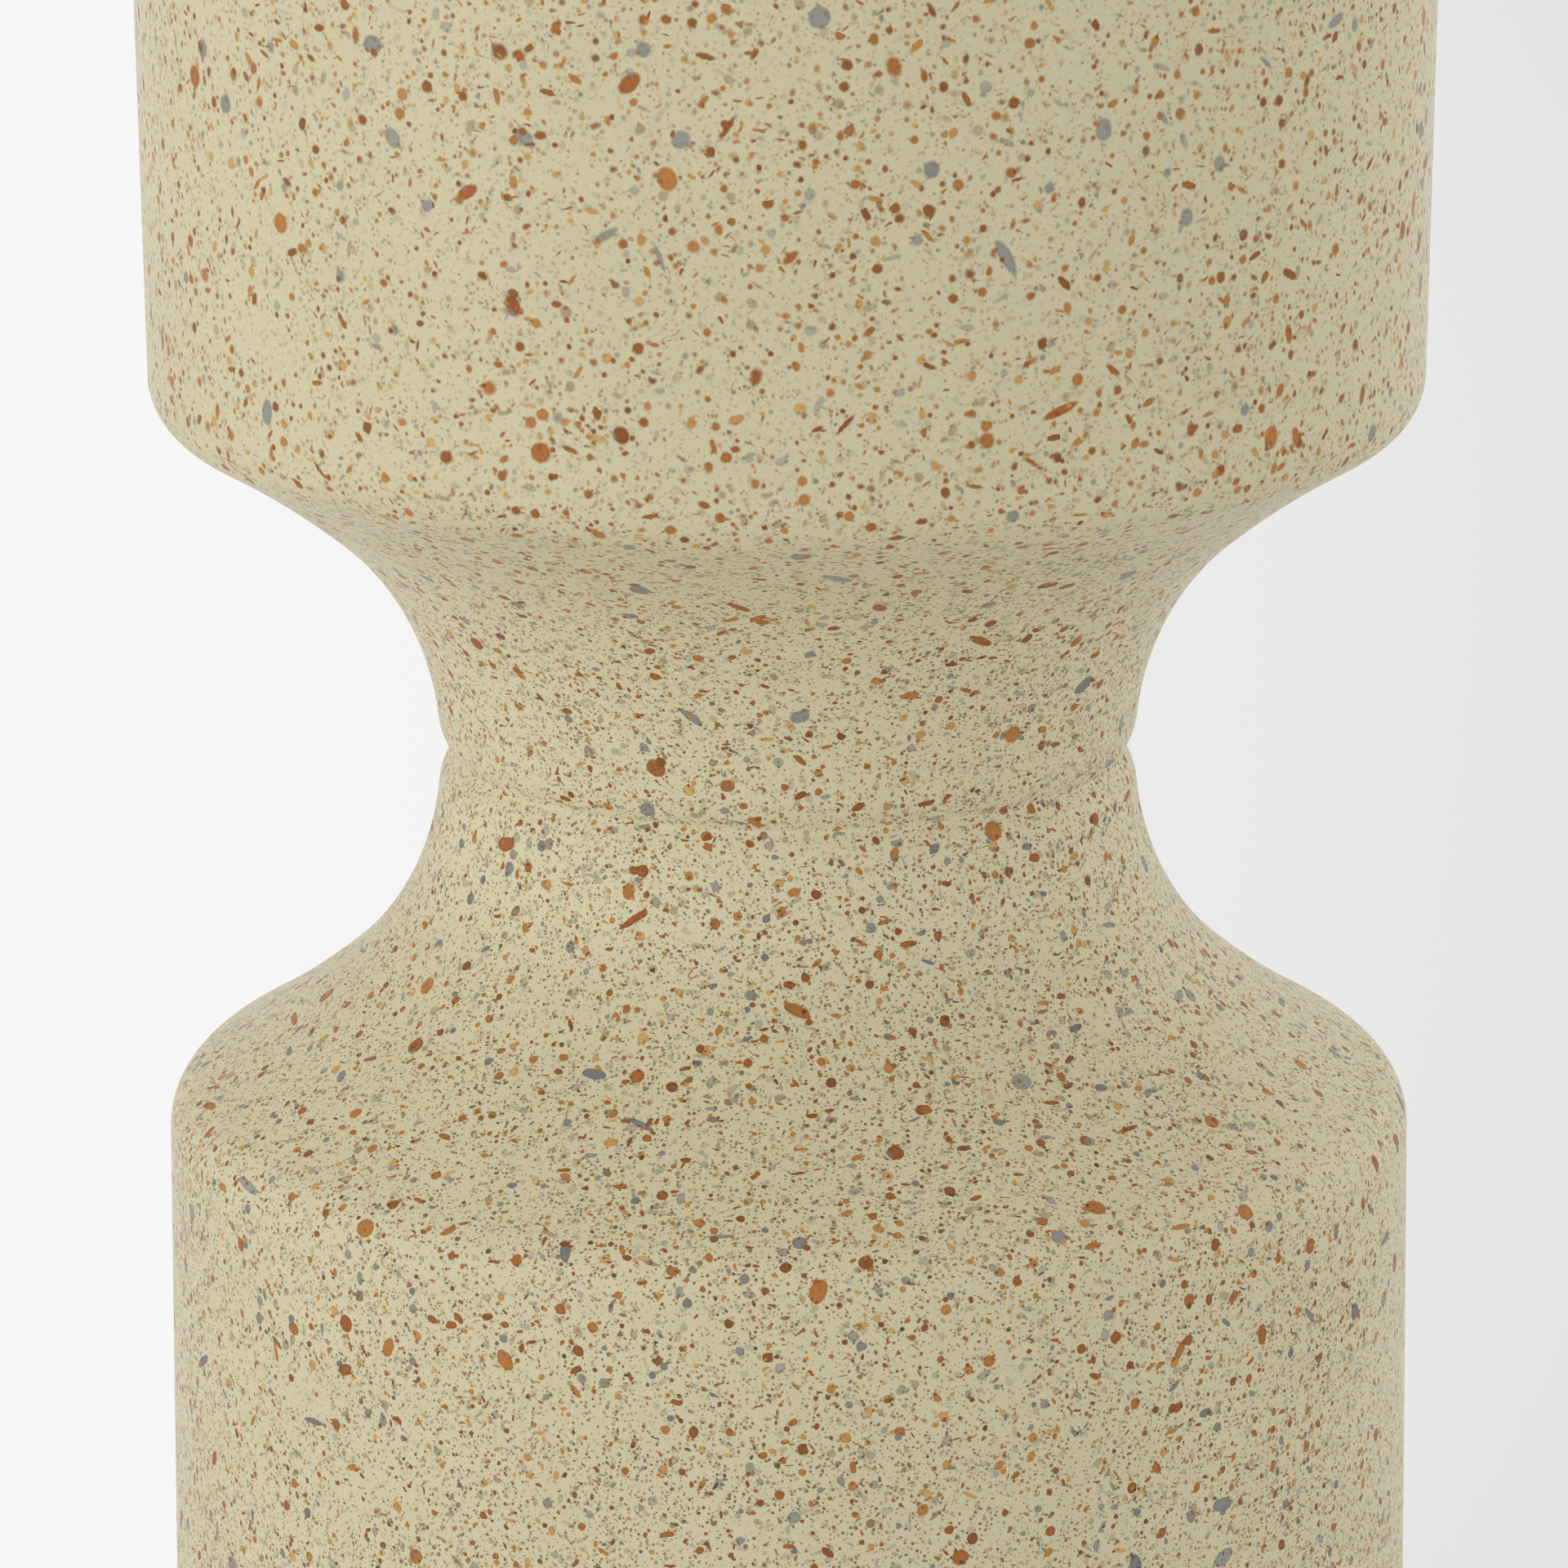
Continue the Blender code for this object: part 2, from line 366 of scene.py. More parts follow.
# Rust, then slate, then the brown that the upper body lacks
SMALL = Spatter(
    "small_drops", spacing=0.88, radius=(0.11, 0.39), share=0.9, stretch=7.0, edge=0.08, rim=0.2, ragged=0.1,
    palette=(
        Tint(0.0, "#CB9A3C", 0.8), Tint(0.12, "#BD7A2E", 0.95), Tint(0.38, "#9A5826", 1.0),
        Tint(0.54, "#834A24", 1.0), Tint(0.55, "#8F8F85", 0.5), Tint(0.70, "#6C706B", 0.75),
        Tint(0.71, "#80592E", 0.75), Tint(1.0, "#55341B", 0.95),
    ),
    left_on_top=1.15,
)
# The real mist has still finer points, which a picture of the whole vase wouldn't show: they are drawn this coarse
MIST = Spatter(
    "mist", spacing=0.42, radius=(0.06, 0.24), share=0.95, stretch=3.0, edge=0.07, rim=0.0, ragged=0.05,
    palette=(
        Tint(0.0, "#A0713A", 0.6), Tint(0.5, "#6E4524", 0.9), Tint(0.51, "#8C7E58", 0.5), Tint(1.0, "#55371C", 0.85),
    ),
    left_on_top=0.55,
)


class Thrown(Enum):
    """The throws that a glaze can carry, from the first laid to the last."""

    FULL = (HAZE, LARGE, DROPS, SMALL, MIST)
    SPARSE = (MIST,)


@dataclass(frozen=True)
class MatteGlaze:
    """Buff matte stoneware glaze, sprayed on and then spattered with iron and slate colours before the firing.

    It gives the eye a soft, even, unreflecting skin with a faint orange-peel grain, and a dry bloom that pales it and
    its drops where it turns away. The colour wanders a little from place to place, where the spray lay thicker, and
    the drops lie in it, not on it. On the upper body they have softer edges and less mist between them.
    """

    name: str
    thrown: Thrown
    pale: str = "#CEC6A4"
    deep: str = "#C8C09D"
    roughness: float = 0.62
    specular: float = 0.25
    bloom: float = 0.3
    bloom_roughness: float = 0.3
    drift_mm: float = 22.0
    wobble_mm: float = 0.45
    grain_mm: float = 0.5
    grain_depth_mm: float = 0.02
    # Painted light: the paler colour laid about the waist, which lifts the shade there
    waist: str = "#D1C9A7"
    waist_mm: float = 171.0
    painted_fill_reach_mm: tuple[float, float] = (18.0, 30.0)
    over_mm: tuple[float, float] = (155.0, 175.0)
    top_mm: tuple[float, float] = (190.0, 215.0)
    soft_times: float = 4.0
    warmth_over: float = 0.9
    warmth_on_top: float = 0.72
    gust_chances: tuple[float, float] = (0.3, 0.7)
    gust_swing: float = 0.2
    tilt: tuple[float, float, float] = (0.62, 0.37, 0.93)

    def make(self) -> bpy.types.Material:
        """Make the material."""
        material, tree, surface = new_material(self.name)
        surroundings = add_node(tree, "TexCoord", {}).outputs
        place = surroundings["Object"]
        drift = add_node(tree, "TexNoise", {"Vector": place, "Scale": 1 / (self.drift_mm * MM), "Detail": 1.0})
        body = add_node(
            tree, "Mix", {"Factor": drift.outputs["Fac"], 6: linear(self.deep), 7: linear(self.pale)},
            data_type="RGBA",
        )
        height = add_node(tree, "SeparateXYZ", {"Vector": place}).outputs["Z"]

        # Painted light: the glaze is made a little paler about the waist, a painted fill that lifts the shade there
        above = add_node(tree, "Math", {0: height, 1: self.waist_mm * MM}, operation="SUBTRACT")
        away = add_node(tree, "Math", {0: above.outputs[0]}, operation="ABSOLUTE")
        near, far = self.painted_fill_reach_mm
        painted_fill = add_node(
            tree, "MapRange", {"Value": away.outputs[0], "From Min": far * MM, "From Max": near * MM},
            interpolation_type="SMOOTHSTEP",
        )
        colour = add_node(
            tree, "Mix", {"Factor": painted_fill.outputs["Result"], 6: body.outputs[2], 7: linear(self.waist)},
            data_type="RGBA",
        ).outputs[2]
        over, top = (
            add_node(
                tree, "MapRange", {"Value": height, "From Min": low * MM, "From Max": high * MM}
            ).outputs["Result"]
            for low, high in (self.over_mm, self.top_mm)
        )
        softness = add_node(tree, "MapRange", {"Value": top, "To Min": 1.0, "To Max": self.soft_times})
        cooler = add_node(tree, "MapRange", {"Value": over, "To Min": 1.0, "To Max": self.warmth_over})
        warmth = add_node(
            tree, "MapRange", {"Value": top, "To Min": cooler.outputs["Result"], "To Max": self.warmth_on_top}
        )

        # Spatter falls in gusts, thicker in one place than in the next
        gust_chance = add_node(tree, "SeparateColor", {"Color": drift.outputs["Color"]}).outputs["Green"]
        calm, strong = self.gust_chances
        gust = add_node(
            tree, "MapRange",
            {
                "Value": gust_chance, "From Min": calm, "From Max": strong,
                "To Min": 1 - self.gust_swing, "To Max": 1 + self.gust_swing,
            },
        )

        # Real drops aren't perfect ovals: the place is shaken a little before they are drawn
        noise = add_node(tree, "TexNoise", {"Vector": place, "Scale": 1 / (self.wobble_mm * MM), "Detail": 0.0})
        wobble = add_node(
            tree, "VectorMath", {0: noise.outputs["Color"], 1: (2,) * 3, 2: (-1,) * 3}, operation="MULTIPLY_ADD"
        )

        # Drops lie in the cells of a grid, which is tilted so that its rows don't line up with the walls
        tilted = [
            add_node(
                tree, "VectorRotate", {"Vector": way, "Rotation": self.tilt}, rotation_type="EULER_XYZ"
            ).outputs["Vector"]
            for way in (place, surroundings["Normal"], (0, 0, 1))
        ]
        ground = Ground(
            *tilted, wobble.outputs[0], softness.outputs["Result"], warmth.outputs["Result"], top,
            gust.outputs["Result"],
        )
        for number, throw in enumerate(self.thrown.value, 1):
            colour = throw.lay(tree, ground, colour, number)
        tree.links.new(colour, surface.inputs["Base Color"])

        grain = add_node(tree, "TexNoise", {"Vector": place, "Scale": 1 / (self.grain_mm * MM), "Detail": 0.0})
        bump = add_node(
            tree, "Bump", {"Height": grain.outputs["Fac"], "Distance": self.grain_depth_mm * MM, "Strength": 1.0}
        )
        tree.links.new(bump.outputs["Normal"], surface.inputs["Normal"])
        surface.inputs["Roughness"].default_value = self.roughness
        surface.inputs["Specular IOR Level"].default_value = self.specular
        surface.inputs["Sheen Weight"].default_value = self.bloom
        surface.inputs["Sheen Roughness"].default_value = self.bloom_roughness
        return material


@dataclass(frozen=True)
class BareStoneware:
    """Unglazed stoneware, fired to a warm toasted buff and wiped with a sponge.

    It gives the eye a dry, sandy surface with dark iron specks and grit that catches the light.
    """

    name: str
    pale: str = "#C2A57C"
    deep: str = "#A98A60"
    iron: str = "#6B4A30"
    cloud_mm: float = 9.0
    grit_mm: float = 0.7
    grit_depth_mm: float = 0.08
    iron_mm: float = 2.2
    iron_radius_mm: float = 0.32
    iron_core: float = 0.6
    roughness: float = 0.85
    specular: float = 0.3

    def make(self) -> bpy.types.Material:
        """Make the material."""
        material, tree, surface = new_material(self.name)
        place = add_node(tree, "TexCoord", {}).outputs["Object"]
        cloud = add_node(tree, "TexNoise", {"Vector": place, "Scale": 1 / (self.cloud_mm * MM), "Detail": 5.0})
        body = add_node(
            tree, "Mix", {"Factor": cloud.outputs["Fac"], 6: linear(self.deep), 7: linear(self.pale)},
            data_type="RGBA",
        )
        specks = add_node(tree, "TexVoronoi", {"Vector": place, "Scale": 1 / (self.iron_mm * MM)})
        share = self.iron_radius_mm / self.iron_mm
        speck = add_node(
            tree, "MapRange",
            {"Value": specks.outputs["Distance"], "From Min": share, "From Max": self.iron_core * share},
        )
        colour = add_node(
            tree, "Mix", {"Factor": speck.outputs["Result"], 6: body.outputs[2], 7: linear(self.iron)},
            data_type="RGBA",
        )
        tree.links.new(colour.outputs[2], surface.inputs["Base Color"])
        grit = add_node(tree, "TexNoise", {"Vector": place, "Scale": 1 / (self.grit_mm * MM), "Detail": 4.0})
        bump = add_node(
            tree, "Bump", {"Height": grit.outputs["Fac"], "Distance": self.grit_depth_mm * MM, "Strength": 1.0}
        )
        tree.links.new(bump.outputs["Normal"], surface.inputs["Normal"])
        surface.inputs["Roughness"].default_value = self.roughness
        surface.inputs["Specular IOR Level"].default_value = self.specular
        return material


def sweep(start: Point, heading_from: float, heading_to: float, radius: float, steps: int) -> list[Point]:
    """Points after start on an arc whose heading from the axis turns from one angle to another.

    Args:
        start: the point that the arc leaves, as radius and height.
        heading_from: the heading at the start, in radians.
        heading_to: the heading at the end. A growing one opens away from the axis, and a shrinking one rounds over.
        radius: the arc's radius.
        steps: the number of points.

    Returns:
        The points, without start.
    """
    side = 1 if heading_to > heading_from else -1
    points = []
    for step in range(1, steps + 1):
        heading = heading_from + (heading_to - heading_from) * step / steps
        across = side * radius * (math.cos(heading_from) - math.cos(heading))
        rise = side * radius * (math.sin(heading) - math.sin(heading_from))
        points.append((start[0] + across, start[1] + rise))
    return points


def ramp(start: Point, end: Point, steps: int) -> list[Point]:
    """Evenly spaced points after start on the straight line to end, with end the last of them."""
    return [
        (start[0] + (end[0] - start[0]) * step / steps, start[1] + (end[1] - start[1]) * step / steps)
        for step in range(1, steps + 1)
    ]


def select_points(piece: bpy.types.Object, test: Callable[[Vector], bool]) -> None:
    """Select a piece's points by their place, in edit mode.

    Args:
        piece: the piece, in edit mode.
        test: says whether a point is selected.
    """
    bpy.ops.mesh.select_all(action="DESELECT")
    bpy.ops.object.mode_set(mode="OBJECT")
    for point in piece.data.vertices:
        point.select = test(point.co)
    bpy.ops.object.mode_set(mode="EDIT")


def turn_piece(name: str, outline: list[Point], closed: bool) -> bpy.types.Object:
    """Model a turned piece: a circle, extruded and drawn in or out ring by ring along an outline.

    Args:
        name: the piece's name.
        outline: radius and height of each ring.
        closed: whether the outline comes back to its start. If not, its two ends are drawn together on the axis.

    Returns:
        The piece, at the origin, with its faces pointing outwards.
    """
    bpy.ops.object.select_all(action="DESELECT")
    rings = outline + outline[:1] if closed else outline
    bpy.ops.mesh.primitive_circle_add(vertices=SEGMENTS, radius=rings[0][0], location=(0, 0, rings[0][1]))
    piece = bpy.context.active_object
    piece.name = piece.data.name = name
    bpy.ops.object.transform_apply(location=True, rotation=True, scale=True)
    bpy.ops.object.mode_set(mode="EDIT")
    bpy.ops.mesh.select_all(action="SELECT")
    for (radius, height), (next_radius, next_height) in zip(rings, rings[1:]):
        bpy.ops.mesh.extrude_region_move(TRANSFORM_OT_translate={"value": (0, 0, next_height - height)})
        scale = next_radius / radius
        bpy.ops.transform.resize(value=(scale, scale, 1), center_override=(0, 0, next_height))
    if not closed:
        bpy.ops.mesh.merge(type="CENTER")
        first_radius, first_height = rings[0]
        select_points(
            piece, lambda co: abs(co.z - first_height) < WELD and Vector(co[:2]).length < first_radius + WELD
        )
        bpy.ops.mesh.merge(type="CENTER")
    bpy.ops.mesh.select_all(action="SELECT")
    bpy.ops.mesh.remove_doubles(threshold=WELD)
    bpy.ops.mesh.normals_make_consistent(inside=False)
    bpy.ops.object.mode_set(mode="OBJECT")
    bpy.ops.object.shade_smooth_by_angle(angle=SMOOTH_ANGLE)
    return piece


@dataclass(frozen=True)
class Waist:
    """The shape that both sections have about the crease. Heights count from the crease and headings from the axis."""

    neck_radius: float = 44.4 * MM
    neck_heading: float = math.radians(5.8)
    lip_radius: float = 8.5 * MM
    lip_height: float = 4.6 * MM
    cove_radius: float = 38.5 * MM
    cove_end: float = math.radians(49.7)
    flank_end: float = math.radians(60.5)
    shoulder_radius: float = 7.5 * MM
    inner_shoulder_radius: float = 6.0 * MM
    wall_flare: float = math.radians(0.62)
    wall: float = 7.0 * MM
    lip_steps: int = 10
    cove_steps: int = 26
    flank_steps: int = 12
    shoulder_steps: int = 16

    def lip_heading(self, height: float) -> float:
        """The heading of a neck's rounded edge at a height."""
        return math.asin(math.sin(self.neck_heading) + (self.lip_height - height) / self.lip_radius)

    def lip_radius_at(self, height: float) -> float:
        """The radius of a neck's rounded edge at a height."""
        turn = math.cos(self.neck_heading) - math.cos(self.lip_heading(height))
        return self.neck_radius - self.lip_radius * turn

    def outer(self, joint: float, body_radius: float) -> list[Point]:
        """The outside from a neck's mating face to the start of the body's wall.

        Args:
            joint: the height of the mating face.
            body_radius: the radius of the body's wall at the shoulder.

        Returns:
            Points as radius and height.
        """
        edge = (self.lip_radius_at(joint), joint)
        points = [edge]
        points += sweep(edge, self.lip_heading(joint), self.neck_heading, self.lip_radius, self.lip_steps)
        return points + self.rise(points[-1], self.neck_heading, self.cove_radius, self.shoulder_radius, body_radius)

    def inner(self, joint: float, body_radius: float) -> list[Point]:
        """The inside from a neck's mating face to the start of the body's wall, one wall in from the outside.

        Args:
            joint: the height of the mating face.
            body_radius: the outer radius of the body's wall at the shoulder.

        Returns:
            Points as radius and height.
        """
        radius = self.cove_radius + self.wall
        centre = (
            self.neck_radius + self.cove_radius * math.cos(self.neck_heading),
            self.lip_height - self.cove_radius * math.sin(self.neck_heading),
        )
        heading = math.asin((joint - centre[1]) / radius)
        edge = (centre[0] - radius * math.cos(heading), joint)
        bore = body_radius - self.wall
        return [edge] + self.rise(edge, heading, radius, self.inner_shoulder_radius, bore)

    def rise(
        self, start: Point, heading: float, cove_radius: float, shoulder_radius: float, body_radius: float
    ) -> list[Point]:
        """The cove, the long flat arc of the flank and the shoulder, after start.

        Args:
            start: the point where the cove begins.
            heading: the heading there.
            cove_radius: the radius of the cove.
            shoulder_radius: the radius of the shoulder.
            body_radius: the radius where the wall begins.

        Returns:
            Points as radius and height.
        """
        points = sweep(start, heading, self.cove_end, cove_radius, self.cove_steps)
        shoulder_across = shoulder_radius * (math.cos(self.wall_flare) - math.cos(self.flank_end))
        flank_across = body_radius - shoulder_across - points[-1][0]
        flank_radius = flank_across / (math.cos(self.cove_end) - math.cos(self.flank_end))
        points += sweep(points[-1], self.cove_end, self.flank_end, flank_radius, self.flank_steps)
        points += sweep(points[-1], self.flank_end, self.wall_flare, shoulder_radius, self.shoulder_steps)
        return points

    def wall_point(self, start: Point, height: float) -> Point:
        """The point of the flared wall that leaves start, at a height."""
        return (start[0] + (height - start[1]) * math.tan(self.wall_flare), height)


class Finish(Enum):
    """The finishes of a thrown section, in the order of its material slots."""

    OUTSIDE = 0
    INSIDE = 1
    FOOT = 2


@dataclass
class ThrownSection:
    """One of the two sections that the vase is thrown in, with its neck at the crease."""

    closed: ClassVar[bool] = True
    node: str
    waist: Waist
    body_radius: float
    crease: float
    joint: float
    end: float
    finishes: dict[Finish, bpy.types.Material]
    wall_steps: int = 12
    rim_steps: int = 16

    @property
    def height(self) -> float:
        """The section's height from the crease to its far end."""
        return abs(self.end - self.crease)

    def outline(self) -> list[Point]:
        """The section's outline, as radius and height over the crease."""
        raise NotImplementedError

    def build(self) -> bpy.types.Object:
        """Turn the section, put it at the crease and dress it.

        Returns:
            The piece, riding on the vase in place of its plain solid.
        """
        side = 1 if self.end > self.crease else -1
        outline = [(radius, self.crease + side * height) for radius, height in self.outline()]
        piece = turn_piece(self.node + "_glazed", outline, closed=self.closed)
        self.dress(piece)
        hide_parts(self.node)
        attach(piece, BODY)
        return piece

    def dress(self, piece: bpy.types.Object) -> None:
        """Give each face of the section its finish, by its place and by the way it points."""
        for finish in Finish:
            piece.data.materials.append(self.finishes[finish])
        for face in piece.data.polygons:
            face.material_index = self.finish_at(face.center, face.normal).value

    def finish_at(self, centre: Vector, normal: Vector) -> Finish:
        """The finish of a face.

        Args:
            centre: the middle of the face.
            normal: the way it points.

        Returns:
            The finish.
        """
        outwards = centre.x * normal.x + centre.y * normal.y
        return Finish.OUTSIDE if outwards > 0 else Finish.INSIDE


@dataclass
class UpperSection(ThrownSection):
    """The upper section, neck down, with an open rim rounded over by a wet leather."""

    def outline(self) -> list[Point]:
        """The closed outline: round the rim, down the outside and up the inside."""
        outer = self.waist.outer(self.joint, self.body_radius)
        inner = self.waist.inner(self.joint, self.body_radius)
        rim_radius = self.waist.wall / 2
        rim_height = self.height - rim_radius
        rim_end = self.waist.wall_point(outer[-1], rim_height)
        rim = []
        for step in range(self.rim_steps + 1):
            angle = math.pi * (1 - step / self.rim_steps)
            rim.append((
                rim_end[0] - rim_radius + rim_radius * math.cos(angle), rim_height + rim_radius * math.sin(angle)
            ))
        outside_wall = ramp(rim[-1], outer[-1], self.wall_steps)[:-1]
        inside_wall = ramp(inner[-1], rim[0], self.wall_steps)[:-1]
        return rim + outside_wall + outer[::-1] + inner + inside_wall


@dataclass
class LowerSection(ThrownSection):
    """The lower section, neck up, with a thick floor and a turned foot ring left bare of glaze."""

    closed: ClassVar[bool] = False
    foot_edge: float = 3.0 * MM
    ring_width: float = 9.0 * MM
    recess: float = 3.0 * MM
    floor: float = 8.0 * MM
    floor_corner: float = 10.0 * MM
    pole: float = 0.5 * MM
    glaze_line: float = 1.2 * MM
    ring_steps: int = 3

    def outline(self) -> list[Point]:
        """The outline: out along the floor, up the inside, down the outside, and in under the foot."""
        outer = self.waist.outer(self.joint, self.body_radius)
        inner = self.waist.inner(self.joint, self.body_radius)
        flare = self.waist.wall_flare
        floor_height = self.height - self.recess - self.floor
        corner = self.waist.wall_point(inner[-1], floor_height - self.floor_corner)
        inner_corner = sweep(corner, flare, -math.pi / 2, self.floor_corner, self.rim_steps)
        edge = self.waist.wall_point(outer[-1], self.height - self.foot_edge)
        foot_edge = sweep(edge, flare, -math.pi / 2, self.foot_edge, self.rim_steps)
        ring_inner = (foot_edge[-1][0] - self.ring_width, foot_edge[-1][1])
        recess_edge = (ring_inner[0] - self.recess, ring_inner[1] - self.recess)

        inside = inner + ramp(inner[-1], corner, self.wall_steps) + inner_corner
        inside += ramp(inner_corner[-1], (self.pole, inner_corner[-1][1]), self.wall_steps)
        foot = ramp(outer[-1], edge, self.wall_steps) + foot_edge
        foot += ramp(foot_edge[-1], ring_inner, self.ring_steps) + ramp(ring_inner, recess_edge, self.ring_steps)
        foot += ramp(recess_edge, (self.pole, recess_edge[1]), self.wall_steps)
        return inside[::-1] + outer + foot

    def finish_at(self, centre: Vector, normal: Vector) -> Finish:
        """The finish of a face: bare clay below the glaze line and under the foot."""
        low = centre.z < self.end + self.foot_edge and normal.z < 0
        if low or centre.z < self.end + self.glaze_line:
            return Finish.FOOT
        return super().finish_at(centre, normal)


@dataclass
class SlipJoint:
    """The joining slip between the two necks, under the glaze that has run over it into the crease."""

    waist: Waist
    crease: float
    joint: float
    glaze: bpy.types.Material
    root_steps: int = 8
    bed_steps: int = 4

    def build(self) -> bpy.types.Object:
        """Turn the ring of slip.

        Returns:
            The piece, riding on the vase in place of its plain solid.
        """
        edge = self.waist.lip_radius_at(self.joint)
        slope = math.tan(self.waist.lip_heading(self.joint))
        bore = self.waist.inner(self.joint, self.waist.neck_radius)[0][0]
        outline = []
        for step in range(self.root_steps + 1):
            share = 1 - 2 * step / self.root_steps
            sag = self.joint * slope * (1 - share ** 2) / 2
            outline.append((edge - sag, self.crease + share * self.joint))
        outline += ramp(outline[-1], (bore, outline[-1][1]), self.bed_steps)
        outline += [(bore, self.crease + self.joint)]
        outline += ramp(outline[-1], outline[0], self.bed_steps)[:-1]
        piece = turn_piece("slip_joint_glazed", outline, closed=True)
        piece.data.materials.append(self.glaze)
        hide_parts("slip_joint")
        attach(piece, BODY)
        return piece


@dataclass
class InnerCoil:
    """The coil of clay pressed over the joint from inside, with the marks of the thumb that smoothed it."""

    low: Vector
    high: Vector
    depth: float
    clay: bpy.types.Material
    back_steps: int = 4
    round_steps: int = 18
    thumb_mm: float = 14.0
    thumb_depth_mm: float = 0.5
    pressed_from_mm: float = 1.0

    def build(self) -> bpy.types.Object:
        """Turn the coil and press it by hand.

        Returns:
            The piece, riding on the vase in place of its plain solid.
        """
        back = self.high.x
        middle = (self.low.z + self.high.z) / 2
        half = (self.high.z - self.low.z) / 2
        outline = ramp((back, middle + half), (back, middle - half), self.back_steps)
        for step in range(1, self.round_steps):
            angle = math.pi * (step / self.round_steps - 0.5)
            outline.append((back - self.depth * math.cos(angle), middle + half * math.sin(angle)))
        outline.append((back, middle + half))
        piece = turn_piece("inner_coil_pressed", outline, closed=True)
        self.press(piece)
        piece.data.materials.append(self.clay)
        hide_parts("inner_coil")
        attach(piece, BODY)
        return piece

    def press(self, piece: bpy.types.Object) -> None:
        """Dent the coil's round face with shallow thumb marks."""
        marks = bpy.data.textures.new("thumb_marks", "CLOUDS")
        marks.noise_scale = self.thumb_mm * MM
        group = piece.vertex_groups.new(name="round_face")
        face_radius = self.high.x - self.pressed_from_mm * MM
        group.add([v.index for v in piece.data.vertices if Vector(v.co[:2]).length < face_radius], 1.0, "ADD")
        dent = piece.modifiers.new("Thumb marks", "DISPLACE")
        dent.texture = marks
        dent.strength = -self.thumb_depth_mm * MM
        dent.mid_level = 0.0
        dent.vertex_group = group.name
        bpy.context.view_layer.objects.active = piece
        bpy.ops.object.modifier_apply(modifier=dent.name)


@dataclass(frozen=True)
class PhotoCamera:
    """The photograph's camera, as its outline of the vase fits it."""

    pitch: float = math.radians(15.331)
    roll: float = math.radians(0.155)
    distance: float = 943.4 * MM
    aim_below_crease: float = 5.6 * MM
    focal_pixels: float = 9058.8
    picture_pixels: float = 1920.0
    axis_pixels: float = 964.83
    sensor_mm: float = 36.0
    clip: tuple[float, float] = (0.05, 50.0)

    def place(self, crease: float) -> bpy.types.Object:
        """Put the camera before the vase.

        Args:
            crease: the height of the crease.

        Returns:
            The camera.
        """
        bpy.ops.object.camera_add()
        camera = bpy.context.active_object
        camera.name = "photo_camera"
        camera.data.sensor_width = self.sensor_mm
        camera.data.lens = self.sensor_mm * self.focal_pixels / self.picture_pixels
        camera.data.shift_x = 0.5 - self.axis_pixels / self.picture_pixels
        camera.data.dof.use_dof = False
        camera.data.clip_start, camera.data.clip_end = self.clip
        aim = Vector((0, 0, crease - self.aim_below_crease))
        back = Vector((0, -math.cos(self.pitch), math.sin(self.pitch)))
        turn = (-back).to_track_quat("-Z", "Y").to_matrix().to_4x4() @ Matrix.Rotation(-self.roll, 4, "Z")
        camera.matrix_world = Matrix.Translation(aim + self.distance * back) @ turn
        bpy.context.scene.camera = camera
        return camera


@dataclass(frozen=True)
class SoftLamp:
    """A large soft lamp. Places and sizes are in metres and the power in watts."""

    name: str
    place: tuple[float, float, float]
    size: tuple[float, float]
    power: float
    colour: str = "#FFFFFF"

    def hang(self, aim: Vector) -> bpy.types.Object:
        """Hang the lamp and aim it.

        Args:
            aim: the point that it faces.

        Returns:
            The lamp.
        """
        bpy.ops.object.light_add(type="AREA", location=self.place)
        lamp = bpy.context.active_object
        lamp.name = lamp.data.name = self.name
        lamp.data.shape = "RECTANGLE"
        lamp.data.size, lamp.data.size_y = self.size
        lamp.data.energy = self.power
        lamp.data.color = linear(self.colour)[:3]
        lamp.rotation_euler = (aim - lamp.location).to_track_quat("-Z", "Y").to_euler()
        return lamp


